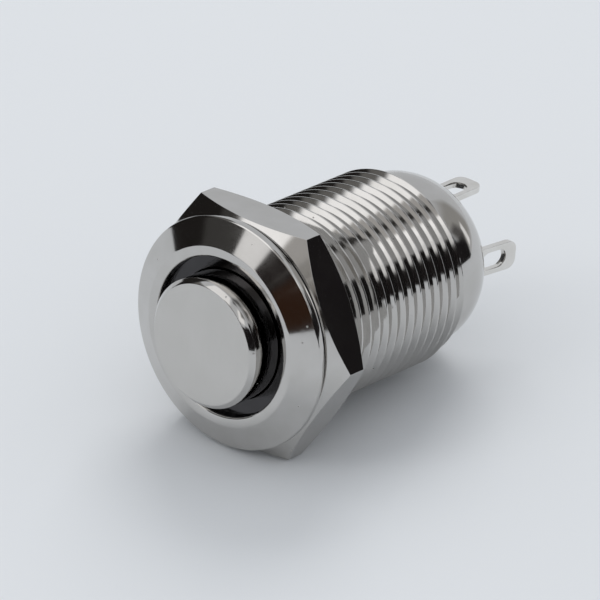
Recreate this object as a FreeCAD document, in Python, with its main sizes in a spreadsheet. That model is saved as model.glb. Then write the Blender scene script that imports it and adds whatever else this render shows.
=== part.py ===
import FreeCAD, Part
import Sketcher
import math
import os
import re

# A vandal-resistant momentary push button for a 12 mm panel hole, in millimetres.
# The switch axis is +Y: the button faces -Y and the solder lugs point to +Y. The origin is on the axis
# in the plane of the flange's rear face, which bears on the panel. +Z is up, with a flat of the nut below.

SIZES = {
    # barrel: threaded length, plain neck and the end rolled in over the base
    "thread_radius": 5.97,
    "thread_length": 13.75,
    "thread_chamfer": 0.3,
    "neck_step": 0.65,
    "neck_length": 1.2,
    "barrel_wall": 0.52,
    "roll_radius": 3.0,
    "roll_angle": 50.0,
    # head: a bevelled flange with a flat ring round a recess
    "flange_overhang": 1.03,
    "rim_height": 0.38,
    "face_height": 1.15,
    "ring_width": 0.63,
    "recess_gap": 0.9,
    "recess_depth": 0.75,
    "recess_bevel": 0.15,
    # fits shared by the pieces
    "slide_gap": 0.05,
    "seat_gap": 0.05,
    "fit_gap": 0.02,
    # button
    "collar_play": 0.2,
    "collar_overlap": 0.7,
    "collar_thickness": 0.8,
    "cap_proud": 1.5,
    "cap_chamfer": 0.26,
    "guide_length": 3.8,
    "travel": 1.4,
    "socket_wall": 1.9,
    "socket_depth": 2.35,
    # cap seal: cord radius, and its groove
    "seal_cord": 0.33,
    "seal_set_back": 1.45,
    "groove_play": 0.24,
    # plunger
    "head_lip": 0.5,
    "head_thickness": 0.6,
    "head_bore_depth": 2.2,
    "stem_radius": 0.8,
    "shoulder_step": 0.9,
    "shoulder_thickness": 0.4,
    "stem_tail": 0.6,
    "clip_width": 0.8,
    "clip_thickness": 0.22,
    "clip_mouth": 0.9,
    # springs: wire radius, and play inside the coil
    "return_wire": 0.21,
    "return_play": 0.24,
    "return_turns": 3.2,
    "contact_wire": 0.125,
    "contact_play": 0.375,
    "contact_turns": 3.2,
    "contact_length": 2.0,
    # switch chamber
    "stop_gap": 0.1,
    "pocket_wall": 0.9,
    "pocket_depth": 1.65,
    "partition": 0.7,
    "cavity_play": 0.5,
    "foot_play": 0.75,
    "foot_headroom": 0.2,
    # contacts
    "bridge_margin": 0.15,
    "bridge_width": 2.4,
    "bridge_thickness": 0.3,
    "bridge_corner": 0.7,
    "bridge_play": 0.15,
    "contact_radius": 0.7,
    "contact_height": 0.25,
    "contact_gap": 0.8,
    "contact_turn": 45.0,
    # terminals
    "lug_inset": 1.65,
    "lug_width": 1.8,
    "lug_thickness": 0.4,
    "lug_length": 3.95,
    "lug_slot_width": 1.1,
    "lug_slot_length": 1.9,
    "lug_margin": 0.8,
    "lug_corner": 0.6,
    "lug_bend": 0.8,
    "upper_splay": 0.05,
    "side_splay": 0.4,
    "foot_start": 12.0,
    "foot_margin": 17.0,
    # base and sealing
    "base_rise": 1.2,
    "stem_room_play": 0.3,
    "stem_room_depth": 1.2,
    # panel gasket and nut
    "gasket_set_in": 0.25,
    "gasket_thickness": 0.4,
    "nut_gap": 0.01,
    "nut_thickness": 2.37,
    "nut_chamfer_angle": 30.0,
    "nut_play": 0.03,
}

# Levels along the axis, each worked out from the one before it
FACE = "-face_height"
CAP_FACE = f"{FACE} - cap_proud"
RECESS_FLOOR = f"{FACE} + recess_depth"
SHOULDER = f"{RECESS_FLOOR} + guide_length"
COLLAR_FRONT = f"{SHOULDER} + seat_gap"
COLLAR_REAR = f"{COLLAR_FRONT} + collar_thickness"
CHAMBER_FRONT = f"{COLLAR_REAR} + travel + stop_gap"
POCKET_FLOOR = f"{CHAMBER_FRONT} + pocket_depth"
PARTITION_REAR = f"{POCKET_FLOOR} + partition"
STEM_SHOULDER = f"{PARTITION_REAR} + stop_gap"
SPRING_REST = f"{STEM_SHOULDER} + shoulder_thickness"
BRIDGE_FRONT = f"{SPRING_REST} + contact_length"
BRIDGE_REAR = f"{BRIDGE_FRONT} + bridge_thickness"
CLIP_FRONT = f"{BRIDGE_REAR} + slide_gap"
FIXED_FACE = f"{BRIDGE_REAR} + contact_height + contact_gap"
FOOT_FRONT = f"{FIXED_FACE} + contact_height"
BASE_FRONT = f"{FOOT_FRONT} + lug_thickness"
NECK_END = "thread_length + neck_length"
BASE_REAR = f"{NECK_END} + base_rise"
LIP_END = f"{NECK_END} + roll_radius * sin(roll_angle)"
SEALING_REAR = f"{NECK_END} + (roll_radius - barrel_wall) * sin(roll_angle)"
LUG_TIP = f"{SEALING_REAR} + lug_length"
NUT_FRONT = "gasket_thickness + nut_gap"

# Radii, each worked out from the barrel's thread inwards or outwards
FLANGE = "(thread_radius + flange_overhang)"
NECK = "(thread_radius - neck_step)"
ROLL_CENTRE = f"({NECK} - roll_radius)"
BORE = f"({NECK} - barrel_wall)"
COLLAR = f"({BORE} - collar_play)"
CAP = f"({COLLAR} - collar_overlap)"
GUIDE = f"({CAP} + slide_gap)"
RECESS = f"({CAP} + recess_gap)"
SOCKET = f"({CAP} - socket_wall)"
HEAD = f"({SOCKET} + head_lip)"
POCKET = f"({BORE} - pocket_wall)"
SHOULDER_RADIUS = "(stem_radius + shoulder_step)"
CLIP = "(stem_radius + clip_width)"
LUG = f"({BORE} - lug_inset)"
FOOT_OUTER = f"({LUG} + lug_thickness / 2)"
CONTACT = f"({FOOT_OUTER} - contact_radius)"
BRIDGE_HALF = f"({FOOT_OUTER} + bridge_margin)"
NUT_BORE = "(thread_radius + nut_play)"

doc = FreeCAD.newDocument("push_button")
sheet = doc.addObject("Spreadsheet::Sheet", "sizes")
for row, (alias, number) in enumerate(SIZES.items(), start=1):
    sheet.set(f"A{row}", alias)
    sheet.set(f"B{row}", str(number))
    sheet.setAlias(f"B{row}", alias)
doc.recompute()


def bound(text):
    """The expression with every size name pointing at the sheet; angles are given in degrees."""
    text = re.sub(r"(sin|cos|tan)\(([^()]+)\)", r"\1((\2) * 1deg)", text)
    return re.sub(r"[a-z][a-z_]*", lambda word: "sizes." + word[0] if word[0] in SIZES else word[0], text)


def value(text):
    """The number an expression has at the present sizes."""
    return float(sheet.evalExpression(bound(text)))


def place(part, level="0", turn="0"):
    """Sets a part on the axis at a level, turned about the axis from +X towards -Z."""
    rotation = FreeCAD.Rotation(FreeCAD.Vector(0, 1, 0), value(turn))
    part.Placement = FreeCAD.Placement(FreeCAD.Vector(), rotation)
    part.setExpression(".Placement.Base.y", bound(level))
    if turn != "0":
        part.setExpression(".Placement.Rotation.Angle", f"({bound(turn)}) * 1deg")


def new_body(name):
    body = doc.addObject("PartDesign::Body", name)
    body.Label = name
    return body


def new_sketch(body, name, role, lift="0"):
    """A sketch on one of the body's own origin planes, lifted along the plane's normal."""
    sketch = body.newObject("Sketcher::SketchObject", name)
    plane = next(feature for feature in body.Origin.OriginFeatures if feature.Role == role)
    sketch.AttachmentSupport = [(plane, "")]
    sketch.MapMode = "FlatFace"
    sketch.setExpression(".AttachmentOffset.Base.z", bound(lift))
    return sketch


def fix(sketch, kind, places, text):
    """A driving dimension of a sketch, bound to its expression."""
    index = sketch.addConstraint(Sketcher.Constraint(kind, *places, value(text)))
    sketch.setExpression(f"Constraints[{index}]", bound(text))


def draw_outline(sketch, corners):
    """A closed outline through corners (x, y), each fixed by its two expressions.

    A corner may carry a third value: the radius of the arc that leads to it, and a fourth: "left" or
    "right", the way that arc bends."""
    points = [FreeCAD.Vector(value(corner[0]), value(corner[1]), 0) for corner in corners]
    ends = []
    for index, corner in enumerate(corners):
        start, end = points[index - 1], points[index]
        if len(corner) == 2:
            edge = sketch.addGeometry(Part.LineSegment(start, end))
            ends.append((edge, 1, 2))
            continue
        radius = value(corner[2])
        chord = end - start
        across = FreeCAD.Vector(-chord.y, chord.x, 0).normalize()
        if corner[3] == "right":
            across = -across
        reach = math.sqrt(max(radius ** 2 - (chord.Length / 2) ** 2, 0.0))
        centre = start + chord / 2 + across * reach
        first, last = (start, end) if corner[3] == "left" else (end, start)
        angles = [math.atan2(point.y - centre.y, point.x - centre.x) for point in (first, last)]
        if angles[1] <= angles[0]:
            angles[1] += 2 * math.pi
        circle = Part.Circle(centre, FreeCAD.Vector(0, 0, 1), radius)
        edge = sketch.addGeometry(Part.ArcOfCircle(circle, *angles))
        ends.append((edge, 1, 2) if corner[3] == "left" else (edge, 2, 1))
        fix(sketch, "Radius", (edge,), corner[2])
    for index, corner in enumerate(corners):
        edge, _, finish = ends[index]
        following, begin, _ = ends[(index + 1) % len(corners)]
        sketch.addConstraint(Sketcher.Constraint("Coincident", edge, finish, following, begin))
        fix(sketch, "DistanceX", (-1, 1, edge, finish), corner[0])
        fix(sketch, "DistanceY", (-1, 1, edge, finish), corner[1])


def draw_circle(sketch, x, y, radius):
    centre = FreeCAD.Vector(value(x), value(y), 0)
    circle = sketch.addGeometry(Part.Circle(centre, FreeCAD.Vector(0, 0, 1), value(radius)))
    fix(sketch, "DistanceX", (-1, 1, circle, 3), x)
    fix(sketch, "DistanceY", (-1, 1, circle, 3), y)
    fix(sketch, "Radius", (circle,), radius)


def turn_profile(body, name, corners):
    """Turns an outline of (radius, distance along the axis) about the switch axis."""
    sketch = new_sketch(body, f"{name}_outline", "XY_Plane")
    draw_outline(sketch, corners)
    turned = body.newObject("PartDesign::Revolution", name)
    turned.Profile = sketch
    turned.ReferenceAxis = (sketch, ["V_Axis"])
    turned.Angle = 360
    return turned


def cut_profile(body, name, corners):
    """Cuts away what an outline of (radius, distance along the axis) sweeps about the switch axis."""
    sketch = new_sketch(body, f"{name}_outline", "XY_Plane")
    draw_outline(sketch, corners)
    groove = body.newObject("PartDesign::Groove", name)
    groove.Profile = sketch
    groove.ReferenceAxis = (sketch, ["V_Axis"])
    groove.Angle = 360
    return groove


def raise_outline(body, name, sketch, length, reverse=True, midplane=False):
    pad = body.newObject("PartDesign::Pad", name)
    pad.Profile = sketch
    pad.setExpression("Length", bound(length))
    pad.Reversed = reverse
    pad.Midplane = midplane
    return pad


def sink_outline(body, name, sketch, length, reverse=False, midplane=False):
    pocket = body.newObject("PartDesign::Pocket", name)
    pocket.Profile = sketch
    pocket.setExpression("Length", bound(length))
    pocket.Reversed = reverse
    pocket.Midplane = midplane
    return pocket


def lip_bore(level):
    """Inner radius of the rolled lip, which closes in behind the neck by half the roll's angle."""
    return f"{BORE} - (({level}) - ({NECK_END})) * tan(roll_angle / 2)"


def make_housing():
    """Turned in one piece: bevelled flange, recess, guide bore, barrel and the end rolled over the base."""
    body = new_body("housing")
    turn_profile(body, "turned", [
        (RECESS, RECESS_FLOOR),
        (RECESS, f"{FACE} + recess_bevel"),
        (f"{RECESS} + recess_bevel", FACE),
        (f"{RECESS} + ring_width", FACE),
        (FLANGE, "-rim_height"),
        (FLANGE, "0"),
        ("thread_radius", "0"),
        ("thread_radius", "thread_length - thread_chamfer"),
        (NECK, "thread_length"),
        (NECK, NECK_END),
        (f"{ROLL_CENTRE} + roll_radius * cos(roll_angle)", LIP_END, "roll_radius", "left"),
        (lip_bore(SEALING_REAR), SEALING_REAR),
        (BORE, NECK_END),
        (BORE, SHOULDER),
        (GUIDE, SHOULDER),
        (GUIDE, RECESS_FLOOR),
    ])
    place(body)
    return body


def make_cap():
    """The metal button: flat chamfered face, seal groove, retaining collar and a socket for the plunger."""
    body = new_body("button_cap")
    turn_profile(body, "turned", [
        ("0", "0"),
        (f"{CAP} - cap_chamfer", "0"),
        (CAP, "cap_chamfer"),
        (CAP, f"{COLLAR_FRONT} - ({CAP_FACE})"),
        (COLLAR, f"{COLLAR_FRONT} - ({CAP_FACE})"),
        (COLLAR, f"{COLLAR_REAR} - ({CAP_FACE})"),
        (SOCKET, f"{COLLAR_REAR} - ({CAP_FACE})"),
        (SOCKET, f"{COLLAR_REAR} - ({CAP_FACE}) - socket_depth"),
        ("0", f"{COLLAR_REAR} - ({CAP_FACE}) - socket_depth"),
    ])
    floor = f"{CAP} - 2 * seal_cord + fit_gap / 2"
    middle = f"{RECESS_FLOOR} - ({CAP_FACE}) + seal_set_back"
    front, rear = f"{middle} - seal_cord - groove_play / 2", f"{middle} + seal_cord + groove_play / 2"
    cut_profile(body, "seal_groove", [(floor, front), (COLLAR, front), (COLLAR, rear), (floor, rear)])
    place(body, CAP_FACE)
    return body


def hexagon(x, y, half_width):
    """Corners of a hexagon with flats at its low and high x, half_width from its centre."""
    corner = f"({half_width}) / cos(30)"
    angles = range(30, 390, 60)
    return [(f"{x} + {corner} * cos({angle})", f"{y} + {corner} * sin({angle})") for angle in angles]


def make_seal():
    """Rubber ring in the cap's groove; its cord is squeezed to flats where it bears."""
    body = new_body("cap_seal")
    turn_profile(body, "moulded", hexagon(f"{CAP} + fit_gap / 2 - seal_cord", "0", "seal_cord"))
    place(body, f"{RECESS_FLOOR} + seal_set_back")
    return body


def make_plunger_head():
    """Moulded plug pressed into the cap's socket; its flange centres the return spring."""
    body = new_body("plunger_head")
    shank = f"{SOCKET} - fit_gap"
    rear = "socket_depth - seat_gap * 2"
    turn_profile(body, "moulded", [
        ("0", "0"),
        (shank, "0"),
        (shank, rear),
        (HEAD, rear),
        (HEAD, f"{rear} + head_thickness"),
        ("stem_radius + fit_gap / 2", f"{rear} + head_thickness"),
        ("stem_radius + fit_gap / 2", f"{rear} + head_thickness - head_bore_depth"),
        ("0", f"{rear} + head_thickness - head_bore_depth"),
    ])
    place(body, f"{COLLAR_REAR} - ({rear})")
    return body


def make_stem():
    """Turned steel stem: it carries the contact spring, the bridge and a clip behind the bridge."""
    body = new_body("plunger_stem")
    front = f"{COLLAR_REAR} + head_thickness - head_bore_depth + seat_gap"
    shoulder = f"{STEM_SHOULDER} - ({front})"
    spring_rest = f"{SPRING_REST} - ({front})"
    end = f"{CLIP_FRONT} + clip_thickness + stem_tail - ({front})"
    turn_profile(body, "turned", [
        ("0", "0"),
        ("stem_radius", "0"),
        ("stem_radius", shoulder),
        (SHOULDER_RADIUS, shoulder),
        (SHOULDER_RADIUS, spring_rest),
        ("stem_radius", spring_rest),
        ("stem_radius", end),
        ("0", end),
    ])
    place(body, front)
    return body


def make_clip():
    """Split retaining ring that grips the stem behind the bridge."""
    body = new_body("stem_clip")
    inside = "stem_radius + fit_gap / 2"
    turn_profile(body, "stamped", [
        (inside, "0"),
        (CLIP, "0"),
        (CLIP, "clip_thickness"),
        (inside, "clip_thickness"),
    ])
    mouth = new_sketch(body, "mouth_outline", "XZ_Plane")
    draw_outline(mouth, [
        ("0", "-clip_mouth / 2"),
        (f"{CLIP} * 2", "-clip_mouth / 2"),
        (f"{CLIP} * 2", "clip_mouth / 2"),
        ("0", "clip_mouth / 2"),
    ])
    sink_outline(body, "mouth", mouth, "clip_thickness * 2", midplane=True)
    place(body, CLIP_FRONT)
    return body


def make_spring(name, front, rear, inside, wire, turns):
    """Compression spring about the axis with both ends ground flat.

    Its wire is a square stand-in of the round wire's area."""
    body = new_body(name)
    coil = f"({inside} + {wire})"
    length = f"({rear}) - ({front}) - 2 * fit_gap"
    sketch = new_sketch(body, "wire_outline", "XY_Plane")
    half = f"({wire} * sqrt(pi) / 2)"
    corners = [(-1, -1), (1, -1), (1, 1), (-1, 1)]
    draw_outline(sketch, [(f"{coil} + {across} * {half}", f"{along} * {half}") for across, along in corners])
    coils = body.newObject("PartDesign::AdditiveHelix", "coils")
    coils.Profile = sketch
    coils.ReferenceAxis = (sketch, ["V_Axis"])
    coils.Mode = 0
    coils.setExpression("Pitch", bound(f"({length}) / {turns}"))
    coils.setExpression("Height", bound(length))
    doc.recompute()
    near, far = f"{coil} - {wire} * 2", f"{coil} + {wire} * 2"
    ends = {"front_grind": (f"-{wire} * 2", "0"), "rear_grind": (length, f"{length} + {wire} * 2")}
    for end, (low, high) in ends.items():
        cut_profile(body, end, [(near, low), (far, low), (far, high), (near, high)])
    place(body, f"{front} + fit_gap")
    return body


def make_chamber():
    """Moulded insulating liner: spring pocket in front, guided partition, keyed contact cavity behind."""
    body = new_body("switch_chamber")
    outside = f"{BORE} - fit_gap"
    rear = f"{BASE_FRONT} - ({CHAMBER_FRONT})"
    partition_rear = "pocket_depth + partition"
    foot_room, cavity = f"{FOOT_OUTER} + foot_play", f"{SHOULDER_RADIUS} + cavity_play"
    foot_room_front = f"{rear} - lug_thickness - foot_headroom"
    turn_profile(body, "moulded", [
        (POCKET, "0"),
        (outside, "0"),
        (outside, rear),
        (foot_room, rear),
        (foot_room, foot_room_front),
        (cavity, foot_room_front),
        (cavity, partition_rear),
        ("stem_radius + slide_gap", partition_rear),
        ("stem_radius + slide_gap", "pocket_depth"),
        (POCKET, "pocket_depth"),
    ])
    key = new_sketch(body, "bridge_way_outline", "XZ_Plane", f"-({partition_rear})")
    half_length = f"{BRIDGE_HALF} + bridge_play"
    half_width = "bridge_width / 2 + bridge_play"
    draw_outline(key, [
        (f"-({half_length})", f"-({half_width})"),
        (half_length, f"-({half_width})"),
        (half_length, half_width),
        (f"-({half_length})", half_width),
    ])
    sink_outline(body, "bridge_way", key, rear)
    place(body, CHAMBER_FRONT, "contact_turn")
    return body


def draw_rounded_bar(sketch, length, width, corner):
    """A bar outline with rounded corners about the origin, of a given half length and half width."""
    draw_outline(sketch, [
        (f"-({length})", f"-({width}) + {corner}"),
        (f"-({length}) + {corner}", f"-({width})", corner, "left"),
        (f"{length} - {corner}", f"-({width})"),
        (length, f"-({width}) + {corner}", corner, "left"),
        (length, f"{width} - {corner}"),
        (f"{length} - {corner}", width, corner, "left"),
        (f"-({length}) + {corner}", width),
        (f"-({length})", f"{width} - {corner}", corner, "left"),
    ])


def draw_slot(sketch, left, right, half_width):
    """A slot outline with round ends, along the sketch's first axis from left to right."""
    draw_outline(sketch, [
        (left, "0", half_width, "left"),
        (f"{left} + {half_width}", f"-({half_width})", half_width, "left"),
        (f"{right} - {half_width}", f"-({half_width})"),
        (right, "0", half_width, "left"),
        (f"{right} - {half_width}", half_width, half_width, "left"),
        (f"{left} + {half_width}", half_width),
    ])


def make_bridge():
    """Stamped bar that joins the two fixed contacts when the button is pressed."""
    body = new_body("contact_bridge")
    sketch = new_sketch(body, "blank_outline", "XZ_Plane")
    draw_rounded_bar(sketch, BRIDGE_HALF, "bridge_width / 2", "bridge_corner")
    draw_circle(sketch, "0", "0", "stem_radius + slide_gap")
    raise_outline(body, "blank", sketch, "bridge_thickness")
    place(body, BRIDGE_FRONT, "contact_turn")
    return body


def make_contact(name, level, side):
    """Silver contact button brazed on at one end of the bridge's line, side giving which end."""
    body = new_body(name)
    radius, height = "contact_radius", "contact_height"
    turn_profile(body, "struck", [("0", "0"), (radius, "0"), (radius, height), ("0", height)])
    place(body, level)
    body.setExpression(".Placement.Base.x", bound(f"{side}{CONTACT} * cos(contact_turn)"))
    body.setExpression(".Placement.Base.z", bound(f"-({side}{CONTACT}) * sin(contact_turn)"))
    return body


def make_terminal(name, turn, hand, splay):
    """Stamped and bent strip: foot under the base, blade through it, slotted solder lug behind.

    hand is the side of the blade on which the foot carries its contact, and splay is how far the tip of
    the lug leans outwards."""
    body = new_body(name)
    inner, outer = f"{LUG} - lug_thickness / 2", FOOT_OUTER
    bend = f"{SEALING_REAR} + lug_bend - ({FOOT_FRONT})"
    tip = f"{LUG_TIP} - ({FOOT_FRONT})"
    profile = new_sketch(body, "strip_outline", "XY_Plane")
    draw_outline(profile, [
        (inner, "0"),
        (outer, "0"),
        (outer, bend),
        (f"{outer} + {splay}", tip),
        (f"{inner} + {splay}", tip),
        (inner, bend),
    ])
    blade = raise_outline(body, "blade", profile, "lug_width", reverse=False, midplane=True)
    doc.recompute()
    corners = [
        f"Edge{index}" for index, edge in enumerate(blade.Shape.Edges, start=1)
        if all(abs(vertex.Y - value(tip)) < value("fit_gap") for vertex in edge.Vertexes)
        and abs(edge.Vertexes[0].X - edge.Vertexes[-1].X) > value("lug_thickness") / 2
    ]
    rounding = body.newObject("PartDesign::Fillet", "lug_corners")
    rounding.Base = (blade, corners)
    rounding.setExpression("Radius", bound("lug_corner"))
    slot = new_sketch(body, "slot_outline", "YZ_Plane")
    slot_end = f"({tip} - lug_margin)"
    draw_slot(slot, f"({slot_end} - lug_slot_length)", slot_end, "(lug_slot_width / 2)")
    sink_outline(body, "slot", slot, f"{LUG} * 4", midplane=True)
    foot = new_sketch(body, "foot_outline", "XZ_Plane")
    start, end = f"-{hand}1 * foot_start", f"{hand}1 * (contact_turn + foot_margin)"
    foot_inner = f"({FOOT_OUTER} - 2 * contact_radius)"
    forward, back = ("left", "right") if hand == "" else ("right", "left")
    draw_outline(foot, [
        (f"{foot_inner} * cos({start})", f"{foot_inner} * sin({start})", foot_inner, back),
        (f"{outer} * cos({start})", f"{outer} * sin({start})"),
        (f"{outer} * cos({end})", f"{outer} * sin({end})", outer, forward),
        (f"{foot_inner} * cos({end})", f"{foot_inner} * sin({end})"),
    ])
    raise_outline(body, "foot", foot, "lug_thickness")
    place(body, FOOT_FRONT, turn)
    return body


def cut_lug_ways(body, clearance, depth):
    """The two slots that the blades pass through, one above the axis and one at its +X side."""
    near = f"{LUG} - lug_thickness / 2 - {clearance}"
    far = f"{FOOT_OUTER} + {clearance}"
    half = f"lug_width / 2 + {clearance}"
    ways = new_sketch(body, "lug_ways_outline", "XZ_Plane")
    draw_outline(ways, [(near, f"-({half})"), (far, f"-({half})"), (far, half), (near, half)])
    draw_outline(ways, [(f"-({half})", near), (half, near), (half, far), (f"-({half})", far)])
    return sink_outline(body, "lug_ways", ways, depth)


def make_base():
    """Moulded base: stem room in front, bevelled rear edge that the rolled lip holds."""
    body = new_body("base")
    rear = f"{BASE_REAR} - ({BASE_FRONT})"
    stem_room = f"{CLIP} + stem_room_play"
    turn_profile(body, "moulded", [
        ("0", "stem_room_depth"),
        (stem_room, "stem_room_depth"),
        (stem_room, "0"),
        (f"{BORE} - fit_gap", "0"),
        (f"{BORE} - fit_gap", f"{NECK_END} - ({BASE_FRONT})"),
        (f"{lip_bore(BASE_REAR)} - fit_gap", rear),
        ("0", rear),
    ])
    cut_lug_ways(body, "fit_gap", f"{rear} + fit_gap")
    place(body, BASE_FRONT)
    return body


def make_sealing():
    """Poured sealing compound behind the base, keyed under the rolled lip."""
    body = new_body("rear_sealing")
    depth = f"{SEALING_REAR} - ({BASE_REAR})"
    turn_profile(body, "poured", [
        ("0", "0"),
        (f"{lip_bore(BASE_REAR)} - fit_gap / 2", "0"),
        (f"{lip_bore(SEALING_REAR)} - fit_gap / 2", depth),
        ("0", depth),
    ])
    cut_lug_ways(body, "fit_gap / 2", f"{depth} + fit_gap")
    place(body, BASE_REAR)
    return body


def make_gasket():
    """Flat rubber ring that seals the flange to the panel."""
    body = new_body("panel_gasket")
    turn_profile(body, "stamped", [
        (NUT_BORE, "0"),
        (f"{FLANGE} - gasket_set_in", "0"),
        (f"{FLANGE} - gasket_set_in", "gasket_thickness"),
        (NUT_BORE, "gasket_thickness"),
    ])
    place(body)
    return body


def make_nut():
    """Hexagon nut as wide across its flats as the flange, turned with both faces chamfered, then cut."""
    body = new_body("hex_nut")
    corner = f"({FLANGE} / cos(30))"
    slope = f"({corner} - {FLANGE}) * tan(nut_chamfer_angle)"
    turn_profile(body, "blank", [
        (NUT_BORE, "0"),
        (FLANGE, "0"),
        (corner, slope),
        (corner, f"nut_thickness - {slope}"),
        (FLANGE, "nut_thickness"),
        (NUT_BORE, "nut_thickness"),
    ])
    flats = new_sketch(body, "flats_outline", "XZ_Plane")
    draw_circle(flats, "0", "0", f"{corner} * 1.2")
    angles = range(0, 360, 60)
    draw_outline(flats, [(f"{corner} * cos({angle})", f"{corner} * sin({angle})") for angle in angles])
    sink_outline(body, "flats", flats, "nut_thickness")
    place(body, NUT_FRONT)
    return body


make_housing()
make_gasket()
make_nut()
make_cap()
make_seal()
make_plunger_head()
make_stem()
make_clip()
inside_return, inside_contact = f"{HEAD} + return_play", "stem_radius + contact_play"
make_spring("return_spring", COLLAR_REAR, POCKET_FLOOR, inside_return, "return_wire", "return_turns")
make_chamber()
make_spring("contact_spring", SPRING_REST, BRIDGE_FRONT, inside_contact, "contact_wire", "contact_turns")
make_bridge()
for number, side in (("1", ""), ("2", "-")):
    make_contact(f"moving_contact_{number}", BRIDGE_REAR, side)
    make_contact(f"fixed_contact_{number}", FIXED_FACE, side)
make_terminal("terminal_upper", "-90", "", "upper_splay")
make_terminal("terminal_side", "0", "-", "side_splay")
make_base()
make_sealing()
doc.recompute()

failed = [f"{part.Label} ({part.Name})" for part in doc.Objects if {"Invalid", "Error"} & set(part.State)]
pieces = [part for part in doc.Objects if part.TypeId == "PartDesign::Body"]
failed += [part.Label for part in pieces if part.Shape.isNull() or not part.Shape.isValid()]
if failed:
    raise SystemExit(f"not built: {failed}")
for cut in doc.Objects:
    if cut.TypeId in ("PartDesign::Pocket", "PartDesign::Groove"):
        if cut.Shape.Volume >= cut.BaseFeature.Shape.Volume:
            raise SystemExit(f"{cut.Name} cuts nothing")

os.makedirs("parts", exist_ok=True)
for part in pieces:
    part.Shape.exportStep(f"parts/{part.Label}.step")
    print(part.Label, round(part.Shape.Volume, 3), len(part.Shape.Solids))
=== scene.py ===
import math
import bmesh
import bpy
from mathutils import Matrix, Vector


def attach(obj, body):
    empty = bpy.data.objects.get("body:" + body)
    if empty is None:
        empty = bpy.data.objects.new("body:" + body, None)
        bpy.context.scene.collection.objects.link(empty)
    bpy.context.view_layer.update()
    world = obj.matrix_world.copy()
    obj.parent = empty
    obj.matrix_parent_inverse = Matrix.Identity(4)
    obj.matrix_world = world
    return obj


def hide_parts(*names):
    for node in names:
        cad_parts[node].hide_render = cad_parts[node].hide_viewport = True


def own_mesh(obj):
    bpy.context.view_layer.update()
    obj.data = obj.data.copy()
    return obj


# A metal push button lying on its nut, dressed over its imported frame.
# Pieces are modelled in millimetres about the switch axis, +Y, and scaled to metres at the end.

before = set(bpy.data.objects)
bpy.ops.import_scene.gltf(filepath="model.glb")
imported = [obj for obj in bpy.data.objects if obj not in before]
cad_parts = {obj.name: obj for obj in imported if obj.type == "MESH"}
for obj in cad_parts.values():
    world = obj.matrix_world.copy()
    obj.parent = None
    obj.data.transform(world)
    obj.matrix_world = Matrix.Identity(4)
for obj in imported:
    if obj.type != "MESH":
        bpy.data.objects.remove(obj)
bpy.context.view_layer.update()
mm = 0.001
fullTurn = math.tau


# Materials: one function turns a hex colour to linear, and one adds a node with its settings and links

noiseLow, noiseHigh = 0.3, 0.7  # most of a noise texture's values lie between these
rippleHeight, lineHeight, grainHeight = 0.02 * mm, 0.002 * mm, 0.01 * mm  # relief at full strength


def shade(hexCode):
    parts = [int(hexCode[place:place + 2], 16) / 255 for place in (1, 3, 5)]
    linear = [part / 12.92 if part <= 0.04045 else ((part + 0.055) / 1.055) ** 2.4 for part in parts]
    return (*linear, 1.0)


def add(tree, kind, values=(), links=(), **settings):
    node = tree.nodes.new(kind)
    for setting, choice in settings.items():
        setattr(node, setting, choice)
    for socket, amount in dict(values).items():
        node.inputs[socket].default_value = amount
    for socket, source in dict(links).items():
        tree.links.new(source, node.inputs[socket])
    return node


def startMaterial(name, look):
    material = bpy.data.materials.new(name)
    material.use_nodes = True
    shader = material.node_tree.nodes["Principled BSDF"]
    shader.inputs["Base Color"].default_value = shade(look["colour"])
    shader.inputs["Metallic"].default_value = look.get("metallic", 0.0)
    shader.inputs["Roughness"].default_value = look["roughness"]
    if "ior" in look:
        shader.inputs["IOR"].default_value = look["ior"]
    return material, shader


def perMetre(size):
    return 1 / (size * mm)  # scale of a pattern whose grain is so many millimetres


def stained(tree, look, noise):
    return add(tree, "ShaderNodeMix", {"A": shade(look["colour"]), "B": shade(look["stain"])},
               {"Factor": noise.outputs["Fac"]}, data_type="RGBA")


def unevenGloss(tree, look, noise, smoothest, roughest):
    # the roughness wanders with a noise between two shares of its mean
    return add(tree, "ShaderNodeMapRange", {
        "From Min": noiseLow, "From Max": noiseHigh,
        "To Min": look["roughness"] * smoothest, "To Max": look["roughness"] * roughest,
    }, {"Value": noise.outputs["Fac"]})


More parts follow.
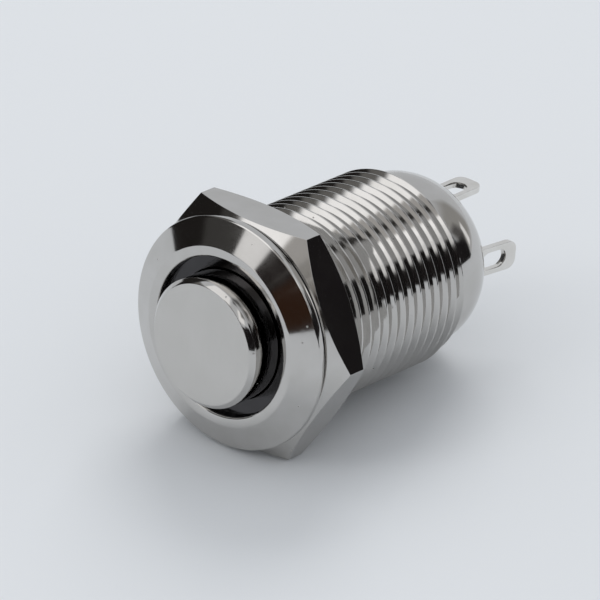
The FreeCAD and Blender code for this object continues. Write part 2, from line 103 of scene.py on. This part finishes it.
def nickelPlate(name, look):
    # Bright nickel over turned brass: a grey mirror with faint turning lines and a little dust
    material, shader = startMaterial(name, look)
    tree = material.node_tree
    position = add(tree, "ShaderNodeTexCoord").outputs["Object"]
    flat = add(tree, "ShaderNodeVectorMath", {1: (1, 0, 1)}, {0: position}, operation="MULTIPLY")
    radius = add(tree, "ShaderNodeVectorMath", links={0: flat.outputs["Vector"]}, operation="LENGTH")
    level = add(tree, "ShaderNodeSeparateXYZ", links={0: position})
    fine = {"Scale": perMetre(look["lines"]), "Detail": 2.0}
    across = add(tree, "ShaderNodeTexNoise", fine, {"W": radius.outputs["Value"]}, noise_dimensions="1D")
    along = add(tree, "ShaderNodeTexNoise", fine, {"W": level.outputs["Y"]}, noise_dimensions="1D")
    lines = add(tree, "ShaderNodeMath", links={0: across.outputs["Fac"], 1: along.outputs["Fac"]},
                operation="ADD")
    ripple = add(tree, "ShaderNodeTexNoise", {"Scale": perMetre(look["ripple"]), "Detail": 1.0},
                 {"Vector": position})
    haze = add(tree, "ShaderNodeTexNoise", {"Scale": perMetre(look["haze"]), "Detail": 4.0},
               {"Vector": position})
    dust = add(tree, "ShaderNodeTexVoronoi", {"Scale": perMetre(look["dustSpacing"])}, {"Vector": position})
    speck = add(tree, "ShaderNodeMapRange", {"From Min": look["dustSize"], "From Max": look["dustCore"]},
                {"Value": dust.outputs["Distance"]})
    rare = add(tree, "ShaderNodeSeparateXYZ", links={0: dust.outputs["Color"]})
    chosen = add(tree, "ShaderNodeMath", {1: look["dustRarity"]}, {0: rare.outputs["X"]},
                 operation="GREATER_THAN")
    dusty = add(tree, "ShaderNodeMath", links={0: speck.outputs["Result"], 1: chosen.outputs["Value"]},
                operation="MULTIPLY")
    gloss = unevenGloss(tree, look, haze, smoothest=0.75, roughest=1.3)
    rough = add(tree, "ShaderNodeMath", {1: look["dustRoughness"]},
                {0: dusty.outputs["Value"], 2: gloss.outputs["Result"]},
                operation="MULTIPLY_ADD", use_clamp=True)
    tint = stained(tree, look, haze)
    wave = add(tree, "ShaderNodeBump", {"Strength": look["rippleDepth"], "Distance": rippleHeight},
               {"Height": ripple.outputs["Fac"]})
    turned = add(tree, "ShaderNodeBump", {"Strength": look["lineDepth"], "Distance": lineHeight},
                 {"Height": lines.outputs["Value"], "Normal": wave.outputs["Normal"]})
    tree.links.new(rough.outputs["Value"], shader.inputs["Roughness"])
    tree.links.new(tint.outputs["Result"], shader.inputs["Base Color"])
    tree.links.new(turned.outputs["Normal"], shader.inputs["Normal"])
    return material


def grainedSurface(name, look):
    # Any finish whose character is a fine even grain: rubber, moulded nylon, drawn wire, struck strip
    material, shader = startMaterial(name, look)
    tree = material.node_tree
    position = add(tree, "ShaderNodeTexCoord").outputs["Object"]
    stretched = add(tree, "ShaderNodeMapping", {"Scale": look.get("stretch", (1, 1, 1))},
                    {"Vector": position})
    grain = add(tree, "ShaderNodeTexNoise", {"Scale": perMetre(look["grain"]), "Detail": 5.0},
                {"Vector": stretched.outputs["Vector"]})
    cloud = add(tree, "ShaderNodeTexNoise", {"Scale": perMetre(look["cloud"]), "Detail": 2.0},
                {"Vector": position})
    tint = stained(tree, look, cloud)
    gloss = unevenGloss(tree, look, grain, smoothest=0.8, roughest=1.2)
    bump = add(tree, "ShaderNodeBump", {"Strength": look["depth"], "Distance": grainHeight},
               {"Height": grain.outputs["Fac"]})
    tree.links.new(tint.outputs["Result"], shader.inputs["Base Color"])
    tree.links.new(gloss.outputs["Result"], shader.inputs["Roughness"])
    tree.links.new(bump.outputs["Normal"], shader.inputs["Normal"])
    return material


finishes = {
    # mirror-bright nickel on the turned and milled outsides
    "polishedNickel": nickelPlate("polishedNickel", {
        "colour": "#CBC9C7", "stain": "#BCBAB6", "metallic": 1.0, "roughness": 0.08,
        "lines": 0.11, "lineDepth": 0.10, "ripple": 2.6, "rippleDepth": 0.10, "haze": 1.4,
        "dustSpacing": 0.75, "dustSize": 0.10, "dustCore": 0.06, "dustRarity": 0.78, "dustRoughness": 0.5}),
    # the same plate over a finely brushed face: softer reflections
    "satinNickel": grainedSurface("satinNickel", {
        "colour": "#CDCBC8", "stain": "#C3C1BD", "metallic": 1.0, "roughness": 0.22,
        "grain": 0.09, "cloud": 2.4, "stretch": (1, 1, 0.05), "depth": 0.05}),
    # painted shade: a dark nickel on the recess round the cap stands in for the shade in that narrow gap,
    # where hardly anything is mirrored
    "paintedShadeNickel": grainedSurface("paintedShadeNickel", {
        "colour": "#4B4A4B", "stain": "#414041", "metallic": 1.0, "roughness": 0.16,
        "grain": 0.09, "cloud": 1.2, "depth": 0.05}),
    # nitrile rubber: matt black with a bloom
    "blackRubber": grainedSurface("blackRubber", {
        "colour": "#17171A", "stain": "#232326", "roughness": 0.62, "ior": 1.52,
        "grain": 0.06, "cloud": 1.1, "depth": 0.35}),
    # glass-filled nylon, spark-eroded mould texture
    "mouldedNylon": grainedSurface("mouldedNylon", {
        "colour": "#1D1D1F", "stain": "#262628", "roughness": 0.48, "ior": 1.53,
        "grain": 0.10, "cloud": 1.6, "depth": 0.30}),
    # drawn or turned stainless steel
    "drawnSteel": grainedSurface("drawnSteel", {
        "colour": "#B9B8B6", "stain": "#A9A8A5", "metallic": 1.0, "roughness": 0.26,
        "grain": 0.08, "cloud": 0.9, "depth": 0.12}),
    # rolled phosphor bronze strip
    "phosphorBronze": grainedSurface("phosphorBronze", {
        "colour": "#D29A6B", "stain": "#C08757", "metallic": 1.0, "roughness": 0.30,
        "grain": 0.07, "cloud": 1.2, "stretch": (1, 1, 0.1), "depth": 0.15}),
    # struck silver alloy contacts
    "contactSilver": grainedSurface("contactSilver", {
        "colour": "#E6E3DA", "stain": "#D6D2C6", "metallic": 1.0, "roughness": 0.28,
        "grain": 0.06, "cloud": 0.6, "depth": 0.12}),
    # silver plate on stamped brass, slightly milky from handling
    "silverPlate": grainedSurface("silverPlate", {
        "colour": "#EBE9E6", "stain": "#D8D5CF", "metallic": 1.0, "roughness": 0.17,
        "grain": 0.08, "cloud": 0.9, "depth": 0.10}),
    # poured epoxy: glossy, with a slow swell
    "pouredEpoxy": grainedSurface("pouredEpoxy", {
        "colour": "#141416", "stain": "#1C1C1F", "roughness": 0.20, "ior": 1.55,
        "grain": 1.2, "cloud": 2.0, "depth": 0.55}),
}
print("finishes ready:", len(finishes))


# Shared modelling steps

def weld(mesh, reach=0.0005):
    bmesh.ops.remove_doubles(mesh, verts=mesh.verts[:], dist=reach)


def trim(mesh, point, outward):
    # cuts off all that lies beyond a plane
    return bmesh.ops.bisect_plane(mesh, geom=mesh.verts[:] + mesh.edges[:] + mesh.faces[:], dist=0.0001,
                                  plane_co=point, plane_no=outward, clear_outer=True)


def trimEnds(mesh, front, rear):
    for level, side in ((front, -1), (rear, 1)):
        trim(mesh, (0, level, 0), (0, side, 0))


def drawOutline(corners):
    # a wire through (radius, level); a third value rounds the corner off that far from it, a fourth
    # says in how many steps
    mesh = bmesh.new()
    points = [mesh.verts.new((corner[0], corner[1], 0)) for corner in corners]
    for start, end in zip(points, points[1:]):
        mesh.edges.new((start, end))
    for point, corner in zip(points, corners):
        if len(corner) > 2:
            segments = corner[3] if len(corner) > 3 else 3
            bmesh.ops.bevel(mesh, geom=[point], offset=corner[2], offset_type="OFFSET", segments=segments,
                            profile=0.5, affect="VERTICES", material=-1)
    return mesh


def spinRound(mesh, steps):
    bmesh.ops.spin(mesh, geom=mesh.verts[:] + mesh.edges[:], cent=(0, 0, 0), axis=(0, 1, 0), angle=fullTurn,
                   steps=steps, use_merge=True)
    weld(mesh)


def join(mesh, other):
    copied = bpy.data.meshes.new("joined")
    other.to_mesh(copied)
    other.free()
    mesh.from_mesh(copied)
    bpy.data.meshes.remove(copied)


def softenEdges(mesh, radius, segments, angle):
    edges = [edge for edge in mesh.edges
             if len(edge.link_faces) == 2 and edge.calc_face_angle() > math.radians(angle)]
    bmesh.ops.bevel(mesh, geom=edges, offset=radius, offset_type="OFFSET", segments=segments, profile=0.5,
                    affect="EDGES", clamp_overlap=True, material=-1)


def openLoop(mesh, level, reach=0.01):
    return [edge for edge in mesh.edges
            if edge.is_boundary and all(abs(vert.co.y - level) < reach for vert in edge.verts)]


def finishPiece(name, mesh, materials, body, slot, *nodes, sharp=32):
    # edges that turn by more than sharp, in degrees, stay crisp
    weld(mesh)
    bmesh.ops.recalc_face_normals(mesh, faces=mesh.faces[:])
    bmesh.ops.scale(mesh, vec=(mm, mm, mm), verts=mesh.verts[:])
    for face in mesh.faces:
        face.smooth = True
    for edge in mesh.edges:
        edge.smooth = len(edge.link_faces) != 2 or edge.calc_face_angle() < math.radians(sharp)
    data = bpy.data.meshes.new(name)
    mesh.to_mesh(data)
    mesh.free()
    piece = bpy.data.objects.new(name, data)
    bpy.context.collection.objects.link(piece)
    for material in materials:
        data.materials.append(finishes[material])
    even = piece.modifiers.new("evenShading", "WEIGHTED_NORMAL")
    even.keep_sharp = True
    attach(piece, body)
    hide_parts(*nodes)
    return piece


def copyNode(node):
    # the frame's own mesh stays as it is: a merged copy in millimetres is what gets worked on
    mesh = bmesh.new()
    mesh.from_mesh(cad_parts[node].data)
    mesh.transform(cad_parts[node].matrix_world)
    bmesh.ops.scale(mesh, vec=(1 / mm, 1 / mm, 1 / mm), verts=mesh.verts[:])
    weld(mesh)
    bmesh.ops.dissolve_limit(mesh, angle_limit=math.radians(1), verts=mesh.verts[:], edges=mesh.edges[:])
    return mesh


# Housing: flange, guide bore and rolled rear end turned in one, with the thread run on from the neck

housing = {
    "threadRadius": 5.97, "threadDepth": 0.44, "pitch": 0.75, "crest": 0.08, "root": 0.12,
    "threadRounding": 0.03, "stepsPerTurn": 128, "seam": 0.002, "threadStart": 0.55, "threadEnd": 13.75,
    "leadSlope": 2.2, "leadStart": 0.02, "reliefRun": 0.1, "neckRadius": 5.32, "neckEnd": 14.95,
    "grooveDepth": 0.10, "grooveWidth": 0.16, "rollReach": 1.399, "lipRadius": 4.248, "lipEnd": 17.248,
    "lipRounding": 0.12, "sealingRadius": 3.914, "sealingLevel": 16.85, "bore": 4.8, "shoulder": 3.40,
    "guide": 3.95, "recessFloor": -0.40, "recess": 4.8, "recessRounding": 0.15, "shadeMaskMargin": 0.1,
    "face": -1.15, "ring": 5.43, "flange": 7.0, "rim": -0.38, "rimRounding": 0.06, "shadingLoop": 0.07,
    "edge": 0.04, "steps": 180,
}


def makeHousing():
    size = housing
    edge = size["edge"]
    grooveFloor = size["neckRadius"] - size["grooveDepth"]
    grooveEnd = size["threadEnd"] + size["grooveWidth"]

    def onBevel(part):  # loops near both ends keep the bevel's shading flat
        return (size["ring"] + (size["flange"] - size["ring"]) * part,
                size["face"] + (size["rim"] - size["face"]) * part)
    mesh = drawOutline([
        (grooveFloor, size["threadEnd"]),
        (grooveFloor, grooveEnd),
        (size["neckRadius"], grooveEnd + size["grooveDepth"], size["threadRounding"], 3),
        (size["neckRadius"], size["neckEnd"] + size["rollReach"], size["rollReach"], 14),
        (size["lipRadius"], size["lipEnd"], size["lipRounding"], 4),
        (size["sealingRadius"], size["sealingLevel"], edge),
        (size["bore"], size["neckEnd"]),
        (size["bore"], size["shoulder"]),
        (size["guide"], size["shoulder"], edge),
        (size["guide"], size["recessFloor"], edge),
        (size["recess"], size["recessFloor"], edge),
        (size["recess"], size["face"], size["recessRounding"], 5),
        (size["ring"], size["face"], size["rimRounding"], 3),
        onBevel(size["shadingLoop"]),
        onBevel(1 - size["shadingLoop"]),
        (size["flange"], size["rim"], size["rimRounding"], 3),
        (size["flange"], 0, edge),
        (size["neckRadius"], 0),
    ])
    spinRound(mesh, size["steps"])
    join(mesh, drawThread(size))
    bmesh.ops.bridge_loops(mesh, edges=openLoop(mesh, 0) + openLoop(mesh, size["threadStart"]))
    bmesh.ops.bridge_loops(mesh, edges=openLoop(mesh, size["threadEnd"]))
    # painted shade: faces on the floor and walls of the recess round the cap get the dark nickel that stands
    # in for the shade there
    margin = size["shadeMaskMargin"]
    for face in mesh.faces:
        middle = face.calc_center_median()
        inShadedRecess = (size["guide"] - edge / 2 < math.hypot(middle.x, middle.z) < size["recess"]
                    and size["face"] + margin < middle.y < size["recessFloor"] + margin)
        face.material_index = 1 if inShadedRecess else 0
    return finishPiece("barrelAndFlange", mesh, ["polishedNickel", "paintedShadeNickel"], "housing",
                       "polished_nickel", "housing", sharp=16)


def drawThread(size):
    crest, root, pitch, rounding = size["crest"] / 2, size["root"] / 2, size["pitch"], size["threadRounding"]
    top, bottom = size["threadRadius"], size["threadRadius"] - size["threadDepth"]
    mesh = drawOutline([
        (bottom, 0), (bottom, root, rounding, 2),
        (top, pitch / 2 - crest, rounding, 2), (top, pitch / 2 + crest, rounding, 2),
        (bottom, pitch - root, rounding, 2), (bottom, pitch),
    ])
    turns = math.ceil(size["threadEnd"] / pitch) + 2
    bmesh.ops.translate(mesh, vec=(0, -pitch * 1.5, 0), verts=mesh.verts[:])
    bmesh.ops.spin(mesh, geom=mesh.verts[:] + mesh.edges[:], cent=(0, 0, 0), axis=(0, 1, 0),
                   dvec=(0, pitch / size["stepsPerTurn"], 0), angle=fullTurn, steps=size["stepsPerTurn"])
    oneTurn = mesh.verts[:] + mesh.edges[:] + mesh.faces[:]
    for turn in range(1, turns):
        copied = bmesh.ops.duplicate(mesh, geom=oneTurn)
        moved = [item for item in copied["geom"] if isinstance(item, bmesh.types.BMVert)]
        bmesh.ops.translate(mesh, vec=(0, pitch * turn, 0), verts=moved)
    weld(mesh, size["seam"])
    for vert in mesh.verts:  # lead-in cone at the rear, relief groove behind the flange
        radius = math.hypot(vert.co.x, vert.co.z)
        fromEnd = size["threadEnd"] - size["leadStart"] - vert.co.y
        fromStart = vert.co.y - size["threadStart"] - size["reliefRun"]
        kept = min(radius, size["neckRadius"] + size["leadSlope"] * max(fromEnd, 0),
                   size["neckRadius"] + max(fromStart, 0))
        vert.co.x *= kept / radius
        vert.co.z *= kept / radius
    trimEnds(mesh, size["threadStart"], size["threadEnd"])
    return mesh


makeHousing()
print("housing with its thread done")

# Hexagon nut: a chamfered blank cut by six flats; the front chamfer runs inwards to a lip round the gasket

nut = {
    "front": 0.41, "rear": 2.78, "bore": 6.0, "flat": 7.0, "corner": 8.083, "slope": 0.625,
    "chamferInset": 0.02, "countersink": 0.28, "lip": 6.78, "edge": 0.05, "steps": 180,
}


def makeNut():
    size = nut
    rim = size["bore"] + size["countersink"]
    chamferStart = size["flat"] - size["chamferInset"]
    lipRise = (chamferStart - size["lip"]) * size["slope"] / (size["corner"] - chamferStart)
    mesh = drawOutline([
        (size["bore"], size["rear"] - size["countersink"]),
        (rim, size["rear"]),
        (chamferStart, size["rear"]),
        (size["corner"], size["rear"] - size["slope"]),
        (size["corner"], size["front"] + size["slope"]),
        (size["lip"], size["front"] - lipRise),
        (size["lip"], size["front"]),
        (rim, size["front"]),
        (size["bore"], size["front"] + size["countersink"]),
        (size["bore"], size["rear"] - size["countersink"]),
    ])
    spinRound(mesh, size["steps"])
    for side in range(6):
        across = Matrix.Rotation(fullTurn * side / 6, 3, "Y") @ Vector((0, 0, 1))
        cut = trim(mesh, across * size["flat"], across)
        bared = [edge for edge in cut["geom_cut"]
                 if isinstance(edge, bmesh.types.BMEdge) and edge.is_boundary]
        bmesh.ops.edgeloop_fill(mesh, edges=bared)
    bmesh.ops.recalc_face_normals(mesh, faces=mesh.faces[:])
    softenEdges(mesh, size["edge"], segments=3, angle=12)
    return finishPiece("hexagonNut", mesh, ["polishedNickel"], "nut", "polished_nickel", "hex_nut", sharp=10)


makeNut()
print("nut done")

# Panel gasket: a flat ring, its outer edge swollen a little by the clamping

gasket = {"inner": 6.0, "outer": 6.75, "front": 0.005, "rear": 0.395, "swell": 0.15, "steps": 128}


def makeGasket():
    size = gasket
    mesh = drawOutline([
        (size["inner"], size["front"]), (size["outer"], size["front"], size["swell"], 4),
        (size["outer"], size["rear"], size["swell"], 4), (size["inner"], size["rear"]),
        (size["inner"], size["front"]),
    ])
    spinRound(mesh, size["steps"])
    return finishPiece("rubberGasket", mesh, ["blackRubber"], "housing", "black_rubber", "panel_gasket")


makeGasket()
print("gasket done")

# Button cap: brushed flat face, polished side, seal groove and the collar that keeps it in

cap = {
    "face": -2.65, "brushedDepth": 0.001, "radius": 3.9, "chamfer": 0.26,
    "grooveFront": 0.60, "grooveRear": 1.50, "grooveFloor": 3.25,
    "collarFront": 3.45, "collarRear": 4.25, "collar": 4.6, "socket": 2.0, "socketFloor": 1.90,
    "edge": 0.03, "steps": 160,
}


def makeCap():
    size = cap
    edge = size["edge"]
    mesh = drawOutline([
        (0, size["face"]),
        (size["radius"] - size["chamfer"], size["face"], edge),
        (size["radius"], size["face"] + size["chamfer"], edge),
        (size["radius"], size["grooveFront"], edge),
        (size["grooveFloor"], size["grooveFront"]),
        (size["grooveFloor"], size["grooveRear"]),
        (size["radius"], size["grooveRear"], edge),
        (size["radius"], size["collarFront"]),
        (size["collar"], size["collarFront"], edge),
        (size["collar"], size["collarRear"], edge),
        (size["socket"], size["collarRear"], edge),
        (size["socket"], size["socketFloor"]),
        (0, size["socketFloor"]),
    ])
    spinRound(mesh, size["steps"])
    for face in mesh.faces:
        brushed = face.calc_center_median().y < size["face"] + size["brushedDepth"]
        face.material_index = 0 if brushed else 1
    return finishPiece("pressedCap", mesh, ["satinNickel", "polishedNickel"], "button", "satin_nickel",
                       "button_cap")


makeCap()
print("cap done")

# Solder terminals: the frame's own strips with stamped, slightly rolled edges

terminals = {"edge": 0.05, "segments": 2}


def makeTerminal(name, node):
    mesh = copyNode(node)
    softenEdges(mesh, terminals["edge"], terminals["segments"], angle=40)
    return finishPiece(name, mesh, ["silverPlate"], "housing", "silvered_lug", node)


makeTerminal("upperTerminal", "terminal_upper")
makeTerminal("sideTerminal", "terminal_side")
print("terminals done")

# Rear sealing: poured compound, drawn up at the lip

sealing = {
    "front": 16.15, "rear": 16.85, "sink": 0.10, "lip": 3.905, "frontRadius": 4.23, "slopeWidth": 0.3,
    "slopeRounding": 0.25, "steps": 128,
}


def makeSealing():
    size = sealing
    mesh = drawOutline([
        (0, size["front"]), (size["frontRadius"], size["front"]), (size["lip"], size["rear"]),
        (size["lip"] - size["slopeWidth"], size["rear"] - size["sink"], size["slopeRounding"], 5),
        (0, size["rear"] - size["sink"]),
    ])
    spinRound(mesh, size["steps"])
    return finishPiece("pouredSealing", mesh, ["pouredEpoxy"], "housing", "poured_resin", "rear_sealing")


makeSealing()
print("sealing done")

# Springs: round wire, closed and ground ends

closedCoilPitch = 1.6  # in wire radii

springs = {
    "returnCoil": {
        "radius": 2.95, "wire": 0.21, "front": 4.27, "rear": 7.38, "open": 2.2, "closed": 0.7, "sides": 12,
        "stepsPerTurn": 64},
    "contactCoil": {
        "radius": 1.30, "wire": 0.125, "front": 8.62, "rear": 10.58, "open": 2.4, "closed": 0.7, "sides": 12,
        "stepsPerTurn": 48},
}


def makeSpring(name, body, node):
    size = springs[name]
    wire, length = size["wire"], size["rear"] - size["front"]
    closedPitch = wire * closedCoilPitch
    openPitch = (length - 2 * closedPitch * size["closed"]) / size["open"]
    mesh = bmesh.new()
    bmesh.ops.create_circle(mesh, segments=size["sides"], radius=wire)
    bmesh.ops.translate(mesh, vec=(size["radius"], size["front"], 0), verts=mesh.verts[:])
    last = mesh.verts[:] + mesh.edges[:]
    closedEnd, openMiddle = (size["closed"], closedPitch), (size["open"], openPitch)
    for turns, pitch in (closedEnd, openMiddle, closedEnd):
        steps = round(turns * size["stepsPerTurn"])
        grown = bmesh.ops.spin(mesh, geom=last, cent=(0, 0, 0), axis=(0, 1, 0),
                               dvec=(0, pitch * turns / steps, 0), angle=fullTurn * turns, steps=steps)
        last = grown["geom_last"]
    trimEnds(mesh, size["front"], size["rear"])
    bmesh.ops.holes_fill(mesh, edges=[edge for edge in mesh.edges if edge.is_boundary], sides=0)
    return finishPiece(name, mesh, ["drawnSteel"], body, "plain_steel", node)


returnCoil = makeSpring("returnCoil", "housing", "return_spring")
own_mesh(returnCoil)
contactCoil = makeSpring("contactCoil", "button", "contact_spring")
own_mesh(contactCoil)
print("springs done")

# The frame's other pieces keep their meshes and get their finishes

carried = {
    "cap_seal": "blackRubber", "plunger_head": "mouldedNylon", "plunger_stem": "drawnSteel",
    "stem_clip": "drawnSteel", "switch_chamber": "mouldedNylon", "contact_bridge": "phosphorBronze",
    "moving_contact_1": "contactSilver", "moving_contact_2": "contactSilver",
    "fixed_contact_1": "contactSilver", "fixed_contact_2": "contactSilver", "base": "mouldedNylon",
}
for node, finish in carried.items():
    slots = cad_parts[node].material_slots
    if not slots:
        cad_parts[node].data.materials.append(None)
    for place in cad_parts[node].material_slots:
        place.material = finishes[finish]
print("carried pieces finished:", len(carried))

# Studio: pale floor under the nut and the thread, pale surroundings, soft panels and dark screens

studio = {
    "floorColour": "#E6E8EA", "floorRoughness": 0.75, "floorSpecular": 0.1, "floorReach": 6.0,
    "floorTouch": (2.62, -7.0), "floorTilt": 5.65,
    "skyColour": "#E3E6EA", "skyStrength": 0.85, "softEdge": 1.5,
    "panels": {
        "backPanel": {"place": (-0.55, 0.75, 0.95), "size": 0.7, "power": 6.0},
        "frontPanel": {"place": (-0.33, -0.90, 0.60), "size": 0.4, "power": 1.0},
    },
    # what the polished metal mirrors round the table: a dark room with windows in front of the button
    # and dim shelves; angles are degrees round from +X and above the horizon, as seen from the origin
    "cards": {
        "window": {"from": 236.5, "to": 256, "low": 7, "high": 62, "reach": 0.46, "colour": "#FBFBFC"},
        "highWindow": {"from": 221, "to": 275, "low": 38, "high": 64, "reach": 0.45, "colour": "#FBFBFC",
                       "glow": 1.2},
        "windowSide": {"from": 226, "to": 264, "low": 18, "high": 50, "reach": 0.455, "colour": "#FBFBFC",
                       "glow": 1.45, "soft": 5},
        "capLamp": {"from": 292, "to": 309, "low": 25, "high": 46, "reach": 0.42, "colour": "#FBFBFC",
                    "glow": 1.2, "soft": 2},
        "paleShelf": {"from": 257, "to": 279, "low": 17.5, "high": 42, "reach": 0.375, "colour": "#BCBAB8",
                      "soft": 2},
        "paleLedge": {"from": 265, "to": 277.5, "low": 13.8, "high": 20, "reach": 0.374, "colour": "#A19F9C"},
        "lowLedge": {"from": 271.5, "to": 282, "low": 9.3, "high": 16.8, "reach": 0.37, "colour": "#918E8A"},
        "lampTop": {"from": 276, "to": 282.5, "low": 14.5, "high": 26, "reach": 0.365, "colour": "#FBFBFC",
                    "glow": 1.5, "soft": 1},
        "lampMiddle": {"from": 281, "to": 286.5, "low": 9.5, "high": 22, "reach": 0.366, "colour": "#FBFBFC",
                       "glow": 1.3, "soft": 1},
        "lampFoot": {"from": 284.5, "to": 290.5, "low": 3.5, "high": 16, "reach": 0.367, "colour": "#FBFBFC",
                     "soft": 1},
        "leftHaze": {"from": 190, "to": 229, "low": 17, "high": 38, "reach": 0.4, "colour": "#747371",
                     "soft": 4},
        "highCorner": {"from": 280, "to": 312, "low": 49, "high": 80, "reach": 0.4, "colour": "#5A5959",
                       "soft": 4},
        "greyCorner": {"from": 300, "to": 324, "low": 34, "high": 50, "reach": 0.41, "colour": "#838281",
                       "soft": 3},
        "beam": {"from": -10, "to": 70, "low": 67, "high": 80, "reach": 0.4, "colour": "#4A4949", "soft": 4},
        "backLeftWall": {"from": 150, "to": 206, "low": 12, "high": 53, "reach": 0.39, "colour": "#2A2827",
                         "soft": 3},
        "leftWall": {"from": 184, "to": 238.5, "low": -9, "high": 21.5, "reach": 0.38, "colour": "#252322"},
        "leftPane": {"from": 215, "to": 239, "low": 1, "high": 21.5, "reach": 0.37, "colour": "#454443",
                     "soft": 3},
        "middleWall": {"from": 253.5, "to": 290, "low": -9, "high": 21.5, "reach": 0.38, "colour": "#2B2726"},
        "cupboard": {"from": 265, "to": 283, "low": -9, "high": 13.5, "reach": 0.372, "colour": "#352319",
                     "soft": 3},
        "counter": {"from": 284, "to": 309, "low": -9, "high": 22, "reach": 0.38, "colour": "#1F1C1C"},
        "frontWall": {"from": 305, "to": 359, "low": -9, "high": 26, "reach": 0.38, "colour": "#1D1B1C",
                      "soft": 3},
        "sideWall": {"from": -4, "to": 46, "low": -5, "high": 38, "reach": 0.38, "colour": "#252324",
                     "soft": 3},
        "rightLamp": {"from": 58, "to": 70, "low": 8, "high": 28, "reach": 0.4, "colour": "#FBFBFC",
                      "glow": 1.1, "soft": 2},
        "rightHaze": {"from": 44, "to": 61, "low": 18, "high": 37, "reach": 0.38, "colour": "#5F5D5D",
                      "soft": 5},
        "rightWall": {"from": 40, "to": 56, "low": -4, "high": 25, "reach": 0.36, "colour": "#1F1D1E",
                      "soft": 4},
        "dimCorner": {"from": 44, "to": 92, "low": 3, "high": 52, "reach": 0.44, "colour": "#A6A5A3",
                      "soft": 9},
    },
}


def makeFloor():
    touch, height = studio["floorTouch"]
    mesh = bmesh.new()
    bmesh.ops.create_grid(mesh, x_segments=1, y_segments=1, size=studio["floorReach"] / 2)
    bmesh.ops.rotate(mesh, cent=(0, 0, 0), matrix=Matrix.Rotation(math.radians(studio["floorTilt"]), 3, "X"),
                     verts=mesh.verts[:])
    bmesh.ops.translate(mesh, vec=(0, touch * mm, height * mm), verts=mesh.verts[:])
    look = {"colour": studio["floorColour"], "roughness": studio["floorRoughness"]}
    paper, shader = startMaterial("paperWhite", look)
    shader.inputs["Specular IOR Level"].default_value = studio["floorSpecular"]
    stageObject("floor", mesh, paper)


def stageObject(name, mesh, material):
    data = bpy.data.meshes.new(name)
    mesh.to_mesh(data)
    mesh.free()
    thing = bpy.data.objects.new(name, data)
    bpy.context.collection.objects.link(thing)
    data.materials.append(material)
    return thing


def glowing(name, card):
    # a card's glow fades out towards its edges, so that its mirror image is soft
    material = bpy.data.materials.new(name + "Card")
    material.use_nodes = True
    tree = material.node_tree
    tree.nodes.clear()
    cover = add(tree, "ShaderNodeAttribute", attribute_name="cover")
    clear = add(tree, "ShaderNodeBsdfTransparent")
    glow = add(tree, "ShaderNodeEmission",
               {"Color": shade(card["colour"]), "Strength": card.get("glow", 1.0)})
    blend = add(tree, "ShaderNodeMixShader",
                links={0: cover.outputs["Fac"], 1: clear.outputs[0], 2: glow.outputs[0]})
    add(tree, "ShaderNodeOutputMaterial", links={"Surface": blend.outputs[0]})
    return material


def makeCard(name, card):
    reach, width, soft = card["reach"], card["to"] - card["from"], card.get("soft", studio["softEdge"])
    mesh = bmesh.new()
    cover = mesh.verts.layers.float.new("cover")
    levels = (card["low"], card["low"] + soft, card["high"] - soft, card["high"])
    points = [mesh.verts.new((reach, 0, reach * math.tan(math.radians(level)))) for level in levels]
    for start, end in zip(points, points[1:]):
        mesh.edges.new((start, end))
    for point in points[1:3]:
        point[cover] = 1
    bmesh.ops.rotate(mesh, cent=(0, 0, 0), matrix=Matrix.Rotation(math.radians(card["from"]), 3, "Z"),
                     verts=mesh.verts[:])
    bmesh.ops.spin(mesh, geom=mesh.verts[:] + mesh.edges[:], cent=(0, 0, 0), axis=(0, 0, 1),
                   angle=math.radians(width), steps=round(width / soft))
    for vert in mesh.verts:
        along = (math.degrees(math.atan2(vert.co.y, vert.co.x)) - card["from"] + soft / 2) % 360 - soft / 2
        if along < soft / 4 or along > width - soft / 4:
            vert[cover] = 0
    thing = stageObject(name, mesh, glowing(name, card))
    thing.visible_camera = thing.visible_diffuse = thing.visible_shadow = False


def makePanel(name, panel):
    light = bpy.data.lights.new(name, "AREA")
    light.shape = "SQUARE"
    light.size = panel["size"]
    light.energy = panel["power"]
    lamp = bpy.data.objects.new(name, light)
    bpy.context.collection.objects.link(lamp)
    place = Vector(panel["place"])
    lamp.matrix_world = Matrix.Translation(place) @ place.to_track_quat("Z", "Y").to_matrix().to_4x4()
    lamp.visible_camera = lamp.visible_glossy = False


makeFloor()
for name, card in studio["cards"].items():
    makeCard(name, card)
for name, panel in studio["panels"].items():
    makePanel(name, panel)
world = bpy.data.worlds.new("paleStudio")
world.use_nodes = True
world.node_tree.nodes["Background"].inputs["Color"].default_value = shade(studio["skyColour"])
world.node_tree.nodes["Background"].inputs["Strength"].default_value = studio["skyStrength"]
bpy.context.scene.world = world
bpy.context.scene.view_settings.view_transform = "Standard"
print("studio ready")

# Camera fitted to the photograph's outlines: a long lens, a little rolled

view = {
    "place": (236.38, -281.56, 179.75), "turn": 39.44, "height": 25.76, "roll": 4.83, "focalPixels": 7164.6,
    "frameWidth": 600, "sensor": 36.0, "clip": (0.01, 50),
}


def makeCamera():
    lens = bpy.data.cameras.new("camera")
    lens.sensor_width = view["sensor"]
    lens.lens = view["sensor"] * view["focalPixels"] / view["frameWidth"]
    lens.clip_start, lens.clip_end = view["clip"]
    camera = bpy.data.objects.new("camera", lens)
    bpy.context.collection.objects.link(camera)
    turn, height, roll = (math.radians(view[angle]) for angle in ("turn", "height", "roll"))
    camera.matrix_world = (Matrix.Translation(Vector(view["place"]) * mm) @ Matrix.Rotation(turn, 4, "Z")
                           @ Matrix.Rotation(math.pi / 2 - height, 4, "X") @ Matrix.Rotation(roll, 4, "Z"))
    bpy.context.scene.camera = camera


makeCamera()
print("camera placed")
